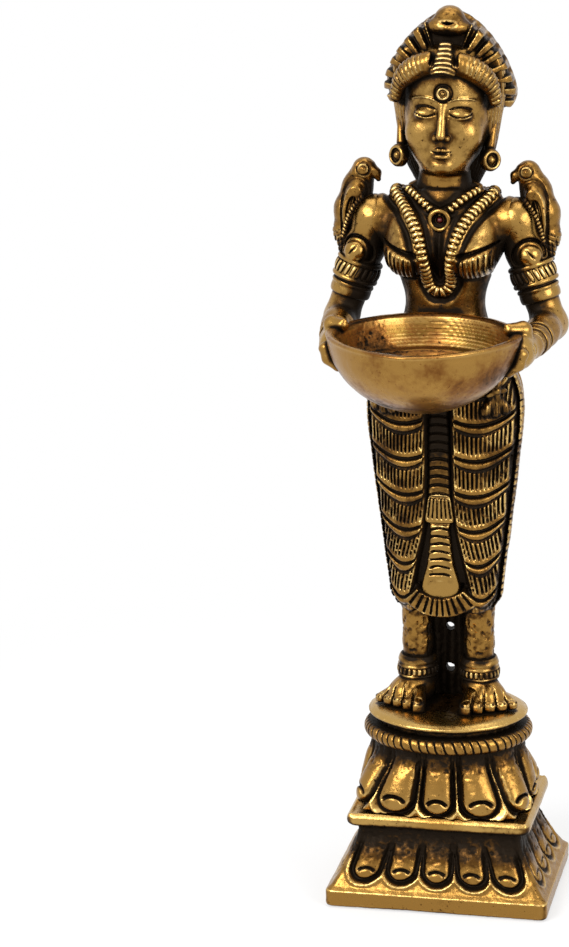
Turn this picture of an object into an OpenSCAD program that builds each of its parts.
// Brass lamp bearer: a standing figure on a lotus plinth who holds an oil bowl in both hands.
// Millimetres. Origin at the centre of the plinth's underside, +Z up, the figure faces -Y.

/* [Plinth] */
// Width of the plinth's foot
base_w = 50; // [44:0.5:60]
// Depth of the plinth's foot
base_d = 38; // [34:0.5:46]
// Height of the plinth up to the plate
base_h = 18; // [15:0.5:24]
// Upright band round the foot
fascia_h = 3.6; // [2.4:0.1:5]
// Width at the top of the flare
neck_w = 37; // [34:0.5:40]
// Depth at the top of the flare
neck_d = 27; // [24:0.5:31]
// Wall round the hollow underside
base_wall = 4; // [3:0.25:6]
// Petals along the front
base_petals_w = 5; // [3:1:7]
// Petals along each side
base_petals_d = 4; // [3:1:5]

/* [Lotus] */
plate_w = 41.4; // [40:0.2:46]
plate_d = 32; // [31:0.2:36]
plate_h = 3.3; // [2.4:0.1:5]
lotus_w = 37; // [34:0.5:38.5]
lotus_d = 29; // [26:0.5:30]
lotus_h = 14.7; // [11:0.1:20]
lotus_petals = 10; // [8:2:16]
// How far a petal swells from the drum
petal_swell = 2; // [1:0.1:2.5]

/* [Standing disc] */
rope_w = 38.1; // [36:0.1:44]
rope_d = 31.6; // [30:0.1:38]
rope_h = 3.5; // [3:0.1:6]
rope_lays = 30; // [24:2:48]
disc_w = 36; // [35:0.5:42]
disc_d = 30.4; // [29.5:0.5:36]
disc_h = 4; // [3:0.1:6]
// Spigot that ties disc, rope, drum and plate together
spigot_d = 16; // [10:0.5:18]

/* [Legs] */
// Distance between the shins
stance = 14; // [12.5:0.5:16]
// From the disc up to the hem
leg_h = 23; // [21:0.5:32]
shin_d = 6.6; // [5.6:0.1:7.5]
foot_l = 13; // [11:0.5:16]
foot_w = 11.5; // [9:0.5:12]
peg_d = 3; // [2:0.1:3.6]

/* [Skirt] */
skirt_h = 57; // [48:0.5:70]
hem_w = 24.6; // [23:0.2:30]
hip_w = 34.4; // [30:0.2:40]
skirt_d = 21; // [18:0.2:26]
tiers = 7; // [5:1:9]
// How far each swag stands out
tier_lip = 1.1; // [0.4:0.1:1.6]
// How far each swag hangs at its middle
tier_sag = 3.4; // [2:0.1:5]

/* [Body] */
torso_h = 36.5; // [32:0.5:44]
waist_w = 17.4; // [15:0.2:22]
waist_d = 13; // [11:0.2:16]
shoulder_w = 29; // [26:0.5:34]
bust_rise = 5.4; // [3:0.2:7]
arm_d = 7.6; // [6:0.1:8.4]
// Outward reach of the elbows
elbow_reach = 22.8; // [21:0.2:27]

/* [Head] */
neck_h = 5; // [3.5:0.25:9]
face_w = 18.4; // [16:0.2:21]
// From the chin to the top of the skull
head_h = 28; // [25:0.5:34]
head_d = 19; // [17:0.2:22]
crown_w = 27.4; // [24:0.2:32]
// From the chin to the point of the crown
crown_h = 35; // [31:0.5:44]
crown_ribs = 6; // [5:1:12]

/* [Bowl] */
bowl_w = 41; // [36:0.5:46]
bowl_h = 16.7; // [13:0.1:20]
bowl_wall = 2.4; // [1.6:0.1:3.2]
// Height of the rim over the seam at the waist
rim_lift = 11.4; // [9:0.2:14]

/* [Fits] */
// Clearance round spigots, pegs and rings
fit = 0.1; // [0.05:0.01:0.2]
// Air between the bowl and the belly
belly_gap = 0.4; // [0.2:0.1:0.9]

/* [Hidden] */
$fn = 48;
brass = [0.72, 0.55, 0.25];
dark_brass = [0.5, 0.37, 0.16];
pale_brass = [0.8, 0.66, 0.36];
stone_red = [0.45, 0.06, 0.06];

// Levels, each stacked on the one below.
z_plate = base_h;
z_lotus = z_plate + plate_h;
z_rope = z_lotus + lotus_h;
z_disc = z_rope + rope_h;
z_stand = z_disc + disc_h;
z_hem = z_stand + leg_h;
z_waist = z_hem + skirt_h;
z_neck = z_waist + torso_h;
z_chin = z_neck + neck_h;
z_rim = z_waist + rim_lift;
leg_x = stance / 2;
tenon_h = 4;
bowl_y = -(waist_d / 2 + belly_gap + bowl_w / 2);

// Curves and lofts.
function clamp(x, a, b) = min(max(x, a), b);
function mix(a, b, t) = a + (b - a) * t;
function ease(a, b, x) = let(t = clamp((x - a) / (b - a), 0, 1)) t * t * (3 - 2 * t);
function power(c, p) = sign(c) * pow(abs(c), p);
function unit(v) = v / norm(v);
function xyz(p) = [p[0], p[1], p[2]];
function knot(s, i) = s[clamp(i, 0, len(s) - 1)];

// Value k of stations [u, v1, v2, ...] at u, on a smooth curve through them.
function span(s, u, i = 0) = (i >= len(s) - 2 || u < s[i + 1][0]) ? i : span(s, u, i + 1);
function slope(s, i, k) = let(a = knot(s, i - 1), b = knot(s, i + 1)) (b[k] - a[k]) / (b[0] - a[0]);
function at(s, u, k) = let(i = span(s, u), h = s[i + 1][0] - s[i][0], t = clamp((u - s[i][0]) / h, 0, 1))
  (2 * t ^ 3 - 3 * t ^ 2 + 1) * s[i][k] + (t ^ 3 - 2 * t ^ 2 + t) * h * slope(s, i, k)
  + (3 * t ^ 2 - 2 * t ^ 3) * s[i + 1][k] + (t ^ 3 - t ^ 2) * h * slope(s, i + 1, k);

// A smooth run of m steps between the points of s.
function curve(s, m) = [for (i = [0:len(s) - 2], j = [0:(i == len(s) - 2 ? m : m - 1)])
  let(t = j / m, a = knot(s, i - 1), b = s[i], c = s[i + 1], d = knot(s, i + 2))
  0.5 * (2 * b + (c - a) * t + (2 * a - 5 * b + 4 * c - d) * t ^ 2 + (3 * b - a - 3 * c + d) * t ^ 3)];

module loft(rings) {
  n = len(rings[0]);
  m = len(rings);
  polyhedron([for (r = rings) each r], concat(
    [[for (j = [0:n - 1]) j]],
    [for (i = [0:m - 2], j = [0:n - 1]) let(k = (j + 1) % n) each
      [[i * n + j, (i + 1) * n + j, (i + 1) * n + k], [i * n + j, (i + 1) * n + k, i * n + k]]],
    [[for (j = [n - 1:-1:0]) (m - 1) * n + j]]), convexity = 8);
}

// A round bar along p = [[x, y, z, radius], ...]; ref is a direction that p never follows.
function tangent(p, i) = unit(xyz(knot(p, i + 1)) - xyz(knot(p, i - 1)));
function hoop(p, i, ref, n, flat) = let(T = tangent(p, i), A = unit(cross(ref, T)), B = cross(T, A))
  [for (k = [0:n - 1]) xyz(p[i]) + p[i][3] * (A * cos(360 * k / n) + flat * B * sin(360 * k / n))];
module sweep(p, ref, n = 10, flat = 1) loft([for (i = [0:len(p) - 1]) hoop(p, i, ref, n, flat)]);

module bead(p, f = 8) translate(xyz(p)) sphere(p[3], $fn = f);
module link(p, q, f = 8) hull() { bead(p, f); bead(q, f); }
module chain(p, f = 8) for (i = [0:len(p) - 2]) link(p[i], p[i + 1], f);
module oval(w, d, h) linear_extrude(h) scale([1, d / w]) circle(d = w);

// Sets children, built along +Z from the origin, on the line from p to q.
module along(p, q) {
  v = q - p;
  translate(p) rotate([0, acos(v[2] / norm(v)), atan2(v[1], v[0])]) children();
}
module mirrored(side) mirror([side < 0 ? 1 : 0, 0, 0]) children();

// Plinth.
chamfer = 1;
flare_z = fascia_h + chamfer;
flare_steps = 7;
flare_top = base_h - 1.6;
function flare(w, neck, s) = mix(neck / 2, w / 2 - chamfer, pow(1 - s, 1.5));
function flare_side(w, neck) = concat([[w / 2, 0], [w / 2, fascia_h]],
  [for (i = [0:flare_steps]) [flare(w, neck, i / flare_steps), mix(flare_z, flare_top, i / flare_steps)]],
  [[neck / 2, base_h]]);
module both_sides(half) polygon(concat(half, [for (i = [len(half) - 1:-1:0]) [-half[i][0], half[i][1]]]));
module along_y(d) translate([0, d / 2, 0]) rotate([90, 0, 0]) linear_extrude(d) children();
module along_x(w) rotate([0, 0, 90]) along_y(w) children();
hollow_h = base_h - tenon_h - 2.4;
module base_hollow() translate([0, 0, -1]) intersection() {
  along_y(base_d) both_sides([[base_w / 2 - base_wall, 0], [neck_w / 2 - base_wall, hollow_h + 1]]);
  along_x(base_w) both_sides([[base_d / 2 - base_wall, 0], [neck_d / 2 - base_wall, hollow_h + 1]]);
}
// One drooping petal on the slope from y0 at the foot to y1 at the neck: a tongue with a raised middle.
module tongue(r, l, lean) {
  circle(r, $fn = 32);
  polygon([[r, 0], [r * lean, l], [-r * lean, l], [-r, 0]]);
}
petal_rise = 0.5;
module slope_petal(at_x, lean, y0, y1, width) {
  r = width / 2;
  foot = [at_x, y0 - 1.4, flare_z + r * 0.8];
  top = [at_x * lean, y1 + 0.3, flare_top - 0.6];
  v = top - foot;
  up = norm([v[1], v[2]]);
  translate(foot) rotate([atan2(v[2], v[1]), 0, 0]) rotate([0, 0, -atan2(v[0], up)]) mirror([0, 0, 1]) {
    translate([0, 0, -2.5]) linear_extrude(2.5 + petal_rise) tongue(r, norm(v), lean);
    linear_extrude(2.3 * petal_rise) tongue(r * 0.62, norm(v) * 0.86, lean);
  }
}
module petal_row(wide, wide_neck, deep, deep_neck, count) {
  pitch = (wide - 8.5) / count;
  for (i = [0:count - 1]) slope_petal((i - (count - 1) / 2) * pitch, wide_neck / wide * 1.04, deep / 2 - chamfer, deep_neck / 2, pitch * 0.86);
}
tenon_w = 14;
tenon_d = 10;
module base_plinth() color(dark_brass) difference() {
  union() {
    intersection() {
      along_y(base_d) both_sides(flare_side(base_w, neck_w));
      along_x(base_w) both_sides(flare_side(base_d, neck_d));
    }
    for (a = [0, 180]) rotate([0, 0, a]) petal_row(base_w, neck_w, base_d, neck_d, base_petals_w);
    for (a = [90, 270]) rotate([0, 0, a]) petal_row(base_d, neck_d, base_w, neck_w, base_petals_d);
  }
  base_hollow();
  translate([0, 0, base_h - tenon_h / 2]) cube([tenon_w + 2 * fit, tenon_d + 2 * fit, tenon_h + 2 * fit], center = true);
}

module upper_plate() color(brass) {
  bevel = 0.8;
  translate([0, 0, z_plate]) intersection() {
    along_y(plate_d) both_sides([[plate_w / 2 - bevel, 0], [plate_w / 2, bevel], [plate_w / 2, plate_h - bevel], [plate_w / 2 - bevel, plate_h]]);
    along_x(plate_w) both_sides([[plate_d / 2 - bevel, 0], [plate_d / 2, bevel], [plate_d / 2, plate_h - bevel], [plate_d / 2 - bevel, plate_h]]);
  }
  translate([0, 0, z_plate - tenon_h / 2]) cube([tenon_w, tenon_d, tenon_h], center = true);
  translate([0, 0, z_lotus]) cylinder(d = spigot_d, h = lotus_h / 2 - fit);
}

// Lotus drum: an oval barrel whose wall swells into petals with their round ends down.
lotus_n = lotus_petals * 8;
function petal_end(s) = s < 0.06 ? 0 : s < 0.5 ? sqrt(1 - ((0.5 - s) / 0.44) ^ 2) : 1;
function lotus_swell(t, s) = let(u = abs(2 * ((t * lotus_petals / 360 + 0.5) % 1) - 1), w = petal_end(s))
  u < w ? petal_swell * sqrt(1 - (u / w) ^ 2) * (1 - 0.75 * ease(0.45, 1, s)) : 0;
function lotus_ring(s) = let(taper = -1.6 * ease(0.3, 1, s)) [for (i = [0:lotus_n - 1])
  let(t = 360 * i / lotus_n + 90, o = lotus_swell(t + 90, s) + taper)
  [(lotus_w / 2 + o) * cos(t), (lotus_d / 2 + o) * sin(t), z_lotus + s * lotus_h]];
module lotus_drum() color(brass) difference() {
  loft([for (s = [0, 0.1, 0.26, 0.48, 0.74, 1]) lotus_ring(s)]);
  translate([0, 0, z_lotus - 1]) cylinder(d = spigot_d + 2 * fit, h = lotus_h + 2);
}

// Rope band: a ring with slanting lays on its rounded outside.
rope_n = rope_lays * 2;
function rope_ring(s) = [for (i = [0:rope_n - 1]) let(t = 360 * (i + 1.2 * s) / rope_n,
  o = (i % 2 == 0 ? 0 : -0.7) * sin(180 * s) - 1.5 * pow(abs(2 * s - 1), 2.4))
  [(rope_w / 2 + o) * cos(t), (rope_d / 2 + o) * sin(t), z_rope + s * rope_h]];
module rope_band() color(brass) difference() {
  loft([for (s = [0, 0.2, 0.5, 0.8, 1]) rope_ring(s)]);
  translate([0, 0, z_rope - 1]) cylinder(d = spigot_d + 2 * fit, h = rope_h + 2);
}

peg_h = min(3, disc_h + 1);
module foot_disc() color(brass) difference() {
  union() {
    translate([0, 0, z_disc]) oval(disc_w - 3, disc_d - 3, disc_h * 0.4);
    translate([0, 0, z_disc + disc_h * 0.35]) oval(disc_w, disc_d, disc_h * 0.65);
    translate([0, 0, z_disc - rope_h - lotus_h / 2 + fit]) cylinder(d = spigot_d, h = rope_h + lotus_h / 2);
  }
  for (x = [-leg_x, leg_x]) translate([x, 1, z_stand - peg_h]) cylinder(d = peg_d + 2 * fit, h = peg_h + 1);
}

// Legs. Drawn for the figure's left (+X) and mirrored.
shin_r = shin_d / 2;
anklet_z = 6;
anklet_h = 5;
anklet_wall = 1.4;
module leg() {
  shin = [[0, 1, 3, shin_r * 0.96], [0, 1, anklet_z, shin_r], [0, 1, anklet_z + anklet_h, shin_r], [0, 1, leg_h, shin_r * 1.1]];
  translate([leg_x, 0, z_stand]) {
    sweep(concat(curve(shin, 2), [[0, 1, leg_h + tenon_h - fit, shin_r * 1.1]]), [1, 0, 0], 12);
    translate([0, 1, -peg_h + fit]) cylinder(d = peg_d, h = peg_h + 4, $fn = 16);
    intersection() {
      union() {
        chain([[0, 3.6, 2.6, 3], [0, 1, 2.9, 3.2], [foot_w * 0.2, -foot_l * 0.22, 2.2, 2.7]], 7);
        link([0, 3.6, 1.6, 3], [foot_w * 0.2, -foot_l * 0.2, 1.4, 3.2], 7);
        for (i = [0:4]) let(u = i / 4, r = mix(1.8, 1.15, u)) link(
          [mix(-0.4, foot_w * 0.42, u), -foot_l * mix(0.24, 0.02, u), 2, 2.1],
          [mix(-1.4, foot_w * 0.68, u), -foot_l * mix(0.6, 0.2, u), r, r], 6);
      }
      translate([-20, -30, 0]) cube([40, 60, leg_h]);
    }
  }
}
module right_leg() color(brass) mirrored(-1) leg();
module left_leg() color(brass) leg();

// Ring of the given bore with a rounded, waisted outside.
module band(bore, wall, h) rotate_extrude($fn = 40) polygon(concat([[bore / 2, 0]],
  [for (i = [0:6]) [bore / 2 + wall * (0.55 + 0.45 * sin(180 * i / 6)), h * i / 6]], [[bore / 2, h]]));
module anklet() translate([leg_x, 1, z_stand + anklet_z]) {
  tier = anklet_h / 2;
  band(shin_d + 2 * fit, anklet_wall, tier);
  translate([0, 0, tier]) band(shin_d + 2 * fit, 1, tier);
}
module right_anklet() color(brass) mirrored(-1) anklet();
module left_anklet() color(brass) anklet();

// Skirt: stations [height, half width, half depth].
skirt_s = [[z_hem, hem_w / 2, skirt_d * 0.42], [mix(z_hem, z_waist, 0.11), hem_w * 0.517, skirt_d * 0.44],
  [mix(z_hem, z_waist, 0.36), mix(hem_w, hip_w, 0.46) / 2, skirt_d * 0.465], [mix(z_hem, z_waist, 0.6), mix(hem_w, hip_w, 0.8) / 2, skirt_d * 0.485],
  [mix(z_hem, z_waist, 0.82), hip_w / 2, skirt_d * 0.5], [mix(z_hem, z_waist, 0.93), mix(hip_w, waist_w, 0.16) / 2, mix(skirt_d, waist_d, 0.12) / 2],
  [z_waist, mix(hip_w, waist_w, 0.52) / 2, mix(skirt_d, waist_d, 0.45) / 2]];
skirt_n = 36;
groove = 1.3;
tier_low = z_hem + 4.6;
tier_pitch = (skirt_h - 9) / tiers;
function from_front(t) = abs((t + 90) % 360 - 180);
function front_fall(d) = groove * exp(-(d / 15) ^ 2);
function hang(d) = max(0, 1 - ((d - 46) / 44) ^ 2);
function skirt_point(t, zb, lip, sag) = let(d = 180 - from_front(t), z = zb - sag * hang(d),
  o = lip * (1 - ease(95, 125, d)) * ease(6, 16, d) - front_fall(d) + 0.45 * cos(t * 14) * ease(112, 140, d) * ease(z_hem - 1, z_hem + 5, z))
  [(at(skirt_s, z, 1) + o) * cos(t), (at(skirt_s, z, 2) + o) * sin(t), z];
function skirt_ring(zb, lip, sag) = [for (i = [0:skirt_n - 1]) skirt_point(360 * i / skirt_n, zb, lip, sag)];
module skirt_body() loft(concat(
  [skirt_ring(z_hem, 0, 0), skirt_ring(z_hem + 0.6, tier_lip * 0.8, 0), skirt_ring(z_hem + 3.8, tier_lip * 0.3, 0)],
  [for (k = [0:tiers - 1], s = [[0.06, 0], [0.14, 1], [0.72, 0.55]])
    skirt_ring(tier_low + tier_sag * 0.3 + (k + s[0]) * tier_pitch, tier_lip * s[1], tier_sag * (k == 0 ? 0.55 : k > tiers - 2 ? 0.8 : 1))],
  [skirt_ring(z_waist - 1, 0, 0), skirt_ring(z_waist, -0.4, 0)]));
module skirt_seats() {
  for (x = [-leg_x, leg_x]) translate([x, 1, z_hem - 1]) cylinder(r = shin_r * 1.1 + fit, h = tenon_h + 1, $fn = 28);
  translate([0, 0, z_waist - tenon_h]) cylinder(d = waist_d * 0.6 + 2 * fit, h = tenon_h + 1, $fn = 28);
}
module skirt() color(dark_brass) difference() {
  skirt_body();
  skirt_seats();
}

// Cloth tail behind the legs, from the disc to the hem, with two gaps left by the casting.
module rear_drape() color(dark_brass) difference() {
  translate([0, 0, z_stand]) linear_extrude(leg_h) difference() {
    polygon([[-leg_x, shin_d * 0.82], [leg_x, shin_d * 0.82], [leg_x * 0.86, shin_d * 1.24], [leg_x * 0.21, shin_d * 1.36], [-leg_x * 0.21, shin_d * 1.36], [-leg_x * 0.86, shin_d * 1.24]]);
    for (x = [-leg_x, leg_x]) translate([x, 1]) circle(r = shin_r + anklet_wall + 2 * fit, $fn = 32);
  }
  for (s = [0.27, 0.69]) translate([-0.4, 7, z_stand + leg_h * s]) rotate([90, 0, 0]) cylinder(d = 1.6, h = 8, center = true, $fn = 16);
}

// Sash: ribbed strips and two flared tassels down the front of the skirt.
function sash_y(z) = -(at(skirt_s, z, 2) - groove);
module sash_bar(z, w, h, t, out = 0.2) translate([0, sash_y(z) - out, z]) cube([w, t, h], center = true);
module sash_strip(z0, z1, w0, w1, t) for (i = [0, 0.5]) hull() {
  sash_bar(mix(z0, z1, i), mix(w0, w1, i), 0.4, t);
  sash_bar(mix(z0, z1, i + 0.5), mix(w0, w1, i + 0.5), 0.4, t);
}
sash_z = [for (s = [0.84, 0.54, 0.36, 0.18, 0.06]) z_hem + skirt_h * s];
module sash_cloth() difference() {
  union() {
    sash_strip(sash_z[1], sash_z[0], 4, 3.2, 1.4);
    sash_strip(sash_z[3], sash_z[2], 4.4, 3.2, 1.4);
    sash_strip(sash_z[2], sash_z[1], 7.4, 3.8, 2.4);
    sash_strip(sash_z[4], sash_z[3], 7, 4, 2.4);
  }
  skirt_body();
}
module front_sash() color(pale_brass) {
  sash_cloth();
  sash_ribs();
}
module sash_ribs() {
  for (i = [0.5:6]) sash_bar(mix(sash_z[1], sash_z[0], i / 6), 4.4, 1.5, 0.9, 0.9);
  for (i = [0.5:4]) sash_bar(mix(sash_z[3], sash_z[2], i / 4), 4.6, 1.3, 0.9, 0.9);
}

// Torso: stations [height, half width, half depth, centre].
torso_s = [[z_waist, mix(hip_w, waist_w, 0.52) / 2 - 0.4, mix(skirt_d, waist_d, 0.45) / 2 - 0.4, 0],
  [mix(z_waist, z_neck, 0.16), mix(hip_w, waist_w, 0.83) / 2, mix(skirt_d, waist_d, 0.8) / 2, 0],
  [mix(z_waist, z_neck, 0.34), waist_w / 2, waist_d / 2, 0], [mix(z_waist, z_neck, 0.52), shoulder_w * 0.36, waist_d * 0.53, 0],
  [mix(z_waist, z_neck, 0.68), shoulder_w * 0.46, waist_d * 0.54, 0], [mix(z_waist, z_neck, 0.83), shoulder_w * 0.5, waist_d * 0.5, 0.4],
  [mix(z_waist, z_neck, 0.94), shoulder_w * 0.4, waist_d * 0.4, 0.8], [z_neck, shoulder_w * 0.26, waist_d * 0.37, 0.6]];
bust_z = mix(z_waist, z_neck, 0.66);
bust_x = shoulder_w * 0.205;
bust_r = shoulder_w * 0.215;
function bust(x, z) = let(d = norm([(abs(x) - bust_x) / bust_r, (z - bust_z) / (bust_r * (z > bust_z ? 1.5 : 0.95))])) d < 1 ? bust_rise * sqrt(1 - d * d) : 0;
function torso_point(t, z) = let(x = at(torso_s, z, 1) * cos(t))
  [x, at(torso_s, z, 3) + at(torso_s, z, 2) * sin(t) - (sin(t) < 0 ? bust(x, z) : 0), z];
function chest_y(x, z) = let(c = clamp(x / at(torso_s, z, 1), -1, 1)) at(torso_s, z, 3) - at(torso_s, z, 2) * sqrt(1 - c * c) - bust(x, z);
torso_n = 34;
torso_steps = 12;
module torso_body() loft([for (i = [0:torso_steps]) [for (k = [0:torso_n - 1]) torso_point(360 * k / torso_n, mix(z_waist, z_neck, i / torso_steps))]]);
shoulder_z = mix(z_waist, z_neck, 0.83);
dowel_d = 3.4;
dowel_l = 5;
module torso() color(brass) difference() {
  union() {
    torso_body();
    translate([0, 0, z_waist - tenon_h + fit]) cylinder(d = waist_d * 0.6, h = tenon_h + 2, $fn = 28);
  }
  translate([0, 0.6, z_neck - tenon_h]) cylinder(d = 5 + 2 * fit, h = tenon_h + 1, $fn = 24);
  for (s = [-1, 1]) translate([s * (shoulder_w / 2 - dowel_l), 0.4, shoulder_z]) rotate([0, 90 * s, 0]) cylinder(d = dowel_d + 2 * fit, h = 20, $fn = 20);
  pendant_disc(fit);
}

// Belt under the seam of skirt and torso, with a knot and three loose ends at each hip.
function hip_y(x, z) = -at(skirt_s, z, 2) * sqrt(1 - (x / at(skirt_s, z, 1)) ^ 2);
knot_x = hip_w * 0.32;
belt_h = 3;
module hip_end(x0, z0, x1, z1, r) link([x0, hip_y(x0, z0) - 0.4, z0, r], [x1, hip_y(x1, z1) - 0.4, z1, r * 0.8], 4);
module girdle() color(pale_brass) difference() {
  union() {
    loft([for (i = [0:3]) let(s = i / 3, z = z_waist - belt_h * (1 - s), o = 0.3 + 0.7 * sin(180 * s)) [for (k = [0:23]) let(t = 15 * k)
      [(at(skirt_s, z, 1) + o) * cos(t), (at(skirt_s, z, 2) + o) * sin(t), z]]]);
    for (s = [-1, 1]) {
      hip_end(s * knot_x * 0.8, z_waist - 1, s * knot_x, z_waist - 4, 1.5);
      for (i = [-1:1]) hip_end(s * knot_x, z_waist - 4, s * (knot_x + 2.2 * i), z_waist - 7.5, 1.1);
    }
  }
  skirt_body();
}

// Necklaces: bars that lie on the chest along [x, height].
function chest_line(s, r, lift) = [for (p = curve(s, 2)) [p[0], chest_y(p[0], p[1]) - lift, p[1], r]];
function chest_at(u, v) = [shoulder_w * u, z_neck - torso_h * v];
long_half = [chest_at(0.32, 0.04), chest_at(0.265, 0.16), chest_at(0.17, 0.27), chest_at(0.114, 0.384), chest_at(0.095, 0.49), chest_at(0.074, 0.56), chest_at(0, 0.592)];
short_half = [chest_at(0.225, 0.018), chest_at(0.16, 0.062), chest_at(0.08, 0.1), chest_at(0, 0.11)];
function whole(half) = concat([for (i = [0:len(half) - 2]) [-half[i][0], half[i][1]]], [for (i = [len(half) - 1:-1:0]) half[i]]);
module on_chest() difference() {
  union() children();
  torso();
}
module long_necklace() color(pale_brass) on_chest() chain(chest_line(whole(long_half), 1.25, 0.35), 5);
module short_necklace() color(pale_brass) difference() {
  on_chest() chain(chest_line(whole(short_half), 0.9, 0.25), 5);
  pendant_disc(0);
  head_body();
}
pendant_z = chest_at(0, 0.142)[1];
pendant_y = chest_y(0, pendant_z);
module pendant_disc(gap) translate([0, pendant_y, pendant_z]) rotate([90, 0, 0]) translate([0, 0, -1.6]) cylinder(d = 5 + 2 * gap, h = 3, $fn = 28);
stone_d = 3;
module stone_seat() translate([0, pendant_y - 0.6, pendant_z]) rotate([90, 0, 0]) children();
module pendant() color(pale_brass) difference() {
  pendant_disc(0);
  stone_seat() cylinder(d = stone_d + 2 * fit, h = 3, $fn = 24);
}
module pendant_stone() color(stone_red) stone_seat() intersection() {
  cylinder(d = stone_d, h = 2, $fn = 24);
  translate([0, 0, -1.6]) sphere(2.6, $fn = 24);
}

// Arms. Drawn for the figure's left (+X) and mirrored.
arm_r = arm_d / 2;
shoulder = [shoulder_w / 2 + 1, 0.4, shoulder_z];
elbow = [elbow_reach, -1, z_rim - 3.2];
wrist = [bowl_w / 2 + 1.1, bowl_y * 0.66, z_rim - 4.2];
palm = [bowl_w / 2 + 0.3, bowl_y * 0.86, z_rim - 4.4];
function over(a, b, t, r) = concat(mix(a, b, t), [r]);
module bare_arm() sweep(curve([over(shoulder, [shoulder[0] - 7, shoulder[1], shoulder[2] + 1.4], 1, arm_r * 0.9), over(shoulder, elbow, 0.02, arm_r * 1.22), over(shoulder, elbow, 0.3, arm_r * 1.1),
  over(shoulder, elbow, 0.62, arm_r), over(shoulder, elbow, 0.95, arm_r * 0.95), over(elbow, wrist, 0.3, arm_r * 0.86), over(elbow, wrist, 1, arm_r * 0.68), over(wrist, palm, 0.9, arm_r * 0.62)], 2), [1, 0, 0], 12);
module hand() {
  chain([concat(wrist, [2.4]), concat(palm, [3]), concat(palm + [-0.6, -2.6, -1], [2.6])]);
  for (i = [0:3]) let(y = palm[1] + 1.6 - 2 * i) link([palm[0] + 0.2, y, palm[2] - 0.6, 1.35], [palm[0] - 2, y, palm[2] - 3.6, 1.1], 6);
  chain([[palm[0] + 0.6, palm[1] + 1.6, palm[2] + 1.8, 1.5], [palm[0] - 0.8, palm[1] + 0.4, z_rim + 0.8, 1.3], [palm[0] - 3.2, palm[1] - 0.6, z_rim + 0.9, 1.1]], 6);
}
module arm() {
  difference() {
    union() {
      bare_arm();
      hand();
    }
    bowl_shape();
    torso_body();
  }
  translate([shoulder_w / 2 - dowel_l + fit, 0.4, shoulder_z]) rotate([0, 90, 0]) cylinder(d = dowel_d, h = dowel_l, $fn = 20);
}
module right_arm() color(brass) mirrored(-1) arm();
module left_arm() color(brass) arm();

// Rings that slip over the arm, at part t of the upper arm or the forearm.
upper_arm = norm(elbow - shoulder);
forearm = norm(wrist - elbow);
armlet_h = 4;
armlet_t = 0.43;
armlet_wall = 1.3;
armlet_bore = arm_d * 1.06 + 2 * fit;
elbow_band_h = 2.2;
elbow_t = 0.67;
elbow_bore = arm_d * 1.01 + 2 * fit;
bangle_h = 1.3;
bangle_t = [0.6, 0.7, 0.8];
function bangle_bore(t) = arm_d * mix(0.97, 0.68, t) + 2 * fit;
module armlet() along(shoulder, elbow) translate([0, 0, upper_arm * armlet_t]) difference() {
  union() {
    cylinder(d = armlet_bore + 2 * armlet_wall, h = armlet_h, $fn = 30);
    rotate([0, 0, 250]) translate([armlet_bore / 2 + 0.2, 0, 0.6]) sphere(2.5, $fn = 24);
    rotate([0, 0, 250]) translate([armlet_bore / 2 + 0.3, 0, -4]) cylinder(d1 = 0.8, d2 = 4, h = 4.4, $fn = 24);
  }
  for (i = [0:11]) rotate([0, 0, 30 * i + 10]) translate([armlet_bore / 2 + 1.5, 0, 1]) cylinder(d = 1, h = armlet_h - 1.6, $fn = 12);
  translate([0, 0, -8]) cylinder(d1 = armlet_bore + 2.2, d2 = armlet_bore + 0.6, h = 8, $fn = 30);
  translate([0, 0, -1]) cylinder(d = armlet_bore, h = armlet_h + 2, $fn = 30);
}
// Room that the bird's tail leaves for the armlet.
module armlet_room() along(shoulder, elbow) translate([0, 0, upper_arm * armlet_t - fit])
  cylinder(d = armlet_bore + 2 * (armlet_wall + fit), h = armlet_h + 2 * fit, $fn = 30);
module right_armlet() color(pale_brass) mirrored(-1) armlet();
module left_armlet() color(pale_brass) armlet();
module elbow_band() along(shoulder, elbow) translate([0, 0, upper_arm * elbow_t]) band(elbow_bore, 1, elbow_band_h);
module right_elbow_band() color(pale_brass) mirrored(-1) elbow_band();
module left_elbow_band() color(pale_brass) elbow_band();
module bangles() along(elbow, wrist) for (t = bangle_t) translate([0, 0, forearm * t]) band(bangle_bore(t), 0.8, bangle_h);
module right_bangles() color(pale_brass) mirrored(-1) bangles();
module left_bangles() color(pale_brass) bangles();

// Parrot: head up and turned in, tail down the outside of the arm.
perch = [shoulder_w / 2 + 4.3, 1.6, shoulder_z];
function bird(x, y, z, r) = concat(perch + [x, y, z] * shoulder_w / 29, [r * shoulder_w / 29]);
module parrot() difference() {
  union() {
    chain([bird(-0.2, 0, 10.4, 2.8), bird(1.5, 0.4, 6.4, 3.4), bird(2.9, 0.4, 1.4, 3.4), bird(3.6, 0, -3.6, 2.6), bird(3.4, -0.4, -8.2, 1.4)]);
    link(bird(-1.6, -0.6, 10, 2), bird(-3.7, -0.8, 7.8, 0.8), 6);
    link(bird(1, -2.4, 6, 1.3), bird(3.2, -2.6, -1.5, 0.8), 6);
    link(bird(-0.4, -2, 10.8, 1.1), bird(-0.4, 2, 10.8, 1.1), 6);
    link(bird(0.8, 0, 6, 2.8), bird(-0.6, 0, 1, 2), 6);
  }
  bare_arm();
  torso_body();
  armlet_room();
}
module right_parrot() color(brass) mirrored(-1) parrot();
module left_parrot() color(brass) parrot();

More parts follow.
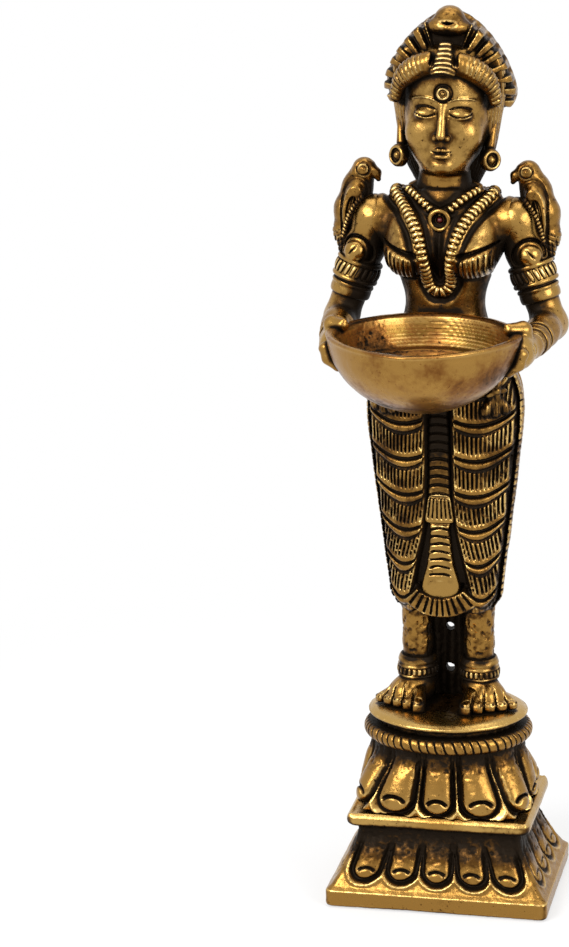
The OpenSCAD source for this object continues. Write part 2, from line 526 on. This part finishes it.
// Head: stations [height, half width, half depth, centre], a plain face on even thirds.
skull_top = z_chin + head_h;
hair_line = z_chin + head_h * 0.77;
function third(k) = mix(z_chin, hair_line, k / 3);
head_s = [[z_neck, 5.2, 4.6, 0.6], [mix(z_neck, z_chin, 0.5), 4.6, 4.2, 0.4], [z_chin - 0.6, 4.9, 5, -0.2],
  [z_chin + 0.8, face_w * 0.3, head_d * 0.42, -1.2], [third(0.6), face_w * 0.42, head_d * 0.47, -0.6], [third(1.5), face_w * 0.495, head_d * 0.49, 0],
  [third(2.2), face_w / 2, head_d / 2, 0.3], [hair_line, face_w * 0.47, head_d * 0.48, 0.6], [mix(hair_line, skull_top, 0.7), face_w * 0.34, head_d * 0.36, 0.8], [skull_top, 1.5, 1.6, 0.8]];
head_n = 22;
head_steps = 13;
module head_body() loft([for (i = [0:head_steps]) let(z = mix(z_neck, skull_top, i / head_steps)) [for (k = [0:head_n - 1])
  let(t = 360 * k / head_n) [at(head_s, z, 1) * cos(t), at(head_s, z, 3) + at(head_s, z, 2) * sin(t), z]]]);
function face_y(x, z) = at(head_s, z, 3) - at(head_s, z, 2) * sqrt(1 - clamp(x / at(head_s, z, 1), -1, 1) ^ 2);
function on_face(x, z, out, r) = [x, face_y(x, z) - out, z, r];
eye_x = face_w / 5;
module ear() chain([[face_w / 2 - 0.2, 0.8, third(2), 1.3], [face_w / 2 + 0.4, 0.2, third(1.4), 1], [face_w / 2 - 0.2, -1.4, third(0.75), 1.2]], 5);
module skin() {
  head_body();
  ear();
  mirrored(-1) ear();
}
module feature(x0, z0, out0, r0, x1, z1, out1, r1) link(on_face(x0, z0, out0, r0), on_face(x1, z1, out1, r1), 5);
module head() color(brass) difference() {
  union() {
    skin();
    feature(0, third(1.9), 0, 0.7, 0, third(1.16), 1.1, 1);
    feature(-1.1, third(1.05), 0.2, 0.7, 1.1, third(1.05), 0.2, 0.7);
    feature(-1.5, third(0.7), -0.2, 0.55, 1.5, third(0.7), -0.2, 0.55);
    feature(-1.2, third(0.52), -0.1, 0.6, 1.2, third(0.52), -0.1, 0.6);
    for (s = [-1, 1]) {
      feature(s * (eye_x - 1.5), third(1.8), -0.3, 0.7, s * (eye_x + 1.3), third(1.8), -0.3, 0.7);
    }
    translate([0, 0.6, z_neck - tenon_h + fit]) cylinder(d = 5, h = tenon_h + 2, $fn = 24);
  }
  translate([0, face_y(0, bindi_z), bindi_z]) rotate([90, 0, 0]) translate([0, 0, -bindi_sink]) cylinder(d = bindi_d / cos(15) + 2 * fit, h = 4, $fn = 12);
  for (m = [-1, 1]) mirrored(m) earring_place() cylinder(d = earring_d / cos(15) + 2 * fit, h = earring_h + 2 * fit, center = true, $fn = 12);
}

// Hair: a cap behind the face, with a roll over the forehead.
hair_s = [[z_neck + 1.6, face_w * 0.34, 3, 4.6], [third(0.3), face_w * 0.54, head_d * 0.3, 4], [third(1.6), face_w * 0.63, head_d * 0.42, 2.8], [third(2.6), face_w * 0.66, head_d * 0.5, 1.6],
  [mix(hair_line, skull_top, 0.4), face_w * 0.6, head_d * 0.5, 1.4], [skull_top + 1, face_w * 0.3, head_d * 0.3, 1.6]];
module hair_body() loft([for (i = [0:8]) let(z = mix(z_neck + 1.6, skull_top + 1, i / 8)) [for (k = [0:19])
  let(t = 18 * k) [at(hair_s, z, 1) * cos(t), at(hair_s, z, 3) + at(hair_s, z, 2) * sin(t), z]]]);
fringe = [for (a = [-84:28:84]) let(x = face_w * 0.54 * sin(a), z = mix(third(1.9), hair_line + 1.6, cos(a))) on_face(x, z, -0.2 - abs(a) / 100, 1.7)];
module hair_shape() {
  hair_body();
  chain(fringe, 5);
}
module hair() color(dark_brass) difference() {
  hair_shape();
  skin();
}

// Crown: a pointed arch behind the fringe, ribbed along its two edges, with a knob at the point.
crown_z = third(2.3);
crown_rise = z_chin + crown_h - crown_z;
function arch(s, k) = let(t = 180 * s) [k * crown_w / 2 * power(cos(t), 1.25), crown_z + (crown_rise - 1.2) * pow(sin(t), 1.3) * mix(0.8, 1, k)];
function crown_ring(y, k) = concat([for (i = [0:14]) let(p = arch(i / 14, k)) [p[0], y, p[1]]], [[-crown_w * 0.25 * k, y, crown_z - 1.5], [crown_w * 0.25 * k, y, crown_z - 1.5]]);
module crown_shape() {
  loft([for (r = [[6.4, 0.72], [4.4, 0.95], [0, 1], [-3.6, 0.93], [-5.6, 0.66]]) crown_ring(r[0], r[1])]);
  for (s = [-1, 1], i = [0:crown_ribs - 1]) let(p = arch(0.5 + s * mix(0.1, 0.42, i / (crown_ribs - 1)), 0.97), q = arch(0.5 + s * mix(0.1, 0.42, i / (crown_ribs - 1)), 0.74))
    link([p[0], -1, p[1], 0.9], [q[0], -5.2, q[1], 0.8], 4);
  link([-1.4, -3.4, z_chin + crown_h - 3.2, 1.4], [1.4, -3.4, z_chin + crown_h - 3.2, 1.4], 6);
  link([0, -2, z_chin + crown_h - 3, 1.6], [0, -0.6, z_chin + crown_h - 1.4, 1.4], 6);
}
module crown() color(brass) difference() {
  crown_shape();
  skin();
  hair_shape();
}

// Ribbed drop on the parting.
module crest() color(pale_brass) difference() {
  union() {
    for (i = [0:6]) let(s = i / 6, z = mix(hair_line - 0.6, hair_line + 6.4, s), w = mix(1.5, 0.7, s), y = face_y(0, hair_line) - mix(1.7, -1.4, s)) link([-w, y, z, 0.75], [w, y, z, 0.75], 4);
    chain([[0, face_y(0, hair_line) - 0.6, hair_line - 0.6, 1], [0, face_y(0, hair_line) + 2, hair_line + 6.6, 1.2]], 6);
  }
  skin();
  hair_shape();
  crown_shape();
}

bindi_z = third(2.35);
bindi_d = 2.8;
bindi_sink = 0.6;
module bindi() color(pale_brass) translate([0, face_y(0, bindi_z), bindi_z]) rotate([90, 0, 0]) translate([0, 0, -bindi_sink]) rotate_extrude($fn = 24)
  polygon([[0, 0], [bindi_d / 2, 0], [bindi_d / 2, bindi_sink + 0.5], [bindi_d * 0.36, bindi_sink + 0.75], [bindi_d * 0.29, bindi_sink + 0.5], [bindi_d * 0.16, bindi_sink + 0.5], [0, bindi_sink + 0.8]]);

earring_d = 4.4;
earring_h = 2.2;
module earring_place() translate([face_w / 2 + 0.3, -2.6, third(0.36)]) rotate([80, 0, 40]) children();
module earring() earring_place() {
  cylinder(d = earring_d, h = earring_h, center = true, $fn = 24);
  translate([0, 0, 0.6]) sphere(1.4, $fn = 16);
}
module right_earring() color(pale_brass) mirrored(-1) earring();
module left_earring() color(pale_brass) earring();

// Plait from under the hair down the back.
function back_y(z) = z > z_waist ? at(torso_s, z, 3) + at(torso_s, z, 2) : at(skirt_s, z, 2);
braid_n = 13;
braid_low = z_waist - 8;
function braid_bead(i) = let(s = i / braid_n, z = mix(z_neck - 2, braid_low, s)) [0, back_y(z) + 0.3, z, (i % 2 == 0 ? 2.6 : 1.9) * mix(1, 0.72, s)];
module braid() color(dark_brass) difference() {
  chain(concat([[0, at(hair_s, z_neck + 4, 3) + at(hair_s, z_neck + 4, 2) - 2.2, z_neck + 4, 2]], [for (i = [0:braid_n]) braid_bead(i)]), 6);
  skirt_body();
  torso();
  hair_shape();
  skin();
  girdle();
}

// Bowl: blunt corners at the sides, front and back outside, a turned hollow with a ledge inside.
bowl_s = [[0, 0.12, 2], [0.09, 0.36, 2], [0.34, 0.69, 1.95], [0.62, 0.92, 1.88], [0.86, 0.985, 1.84], [1, 1, 1.82]];
bowl_n = 40;
module bowl_shape() translate([0, bowl_y, z_rim - bowl_h]) loft([for (s = [0, 0.05, 0.14, 0.28, 0.45, 0.62, 0.82, 1]) [for (k = [0:bowl_n - 1])
  let(t = 360 * k / bowl_n, r = bowl_w / 2 * at(bowl_s, s, 1), p = 2 / at(bowl_s, s, 2)) [r * power(cos(t), p), r * power(sin(t), p), s * bowl_h]]]);
module bowl_hollow() translate([0, bowl_y, z_rim]) rotate_extrude($fn = 64) let(r = bowl_w / 2 - bowl_wall, d = bowl_h - bowl_wall * 1.4)
  polygon(concat([[0, -d]], [for (i = [1:5]) [r * 0.8 * sin(18 * i), -d + d * 0.5 * (1 - cos(18 * i))]], [[r * 0.9, -d * 0.48], [r, 0], [r, 1], [0, 1]]));
module lamp_body() difference() {
  bowl_shape();
  bowl_hollow();
}
module lamp_bowl() color(pale_brass) lamp_body();

base_plinth();
upper_plate();
lotus_drum();
rope_band();
foot_disc();
right_leg();
left_leg();
right_anklet();
left_anklet();
rear_drape();
skirt();
front_sash();
girdle();
torso();
long_necklace();
short_necklace();
pendant();
pendant_stone();
right_arm();
left_arm();
right_armlet();
left_armlet();
right_elbow_band();
left_elbow_band();
right_bangles();
left_bangles();
right_parrot();
left_parrot();
head();
hair();
crown();
crest();
bindi();
right_earring();
left_earring();
braid();
lamp_bowl();
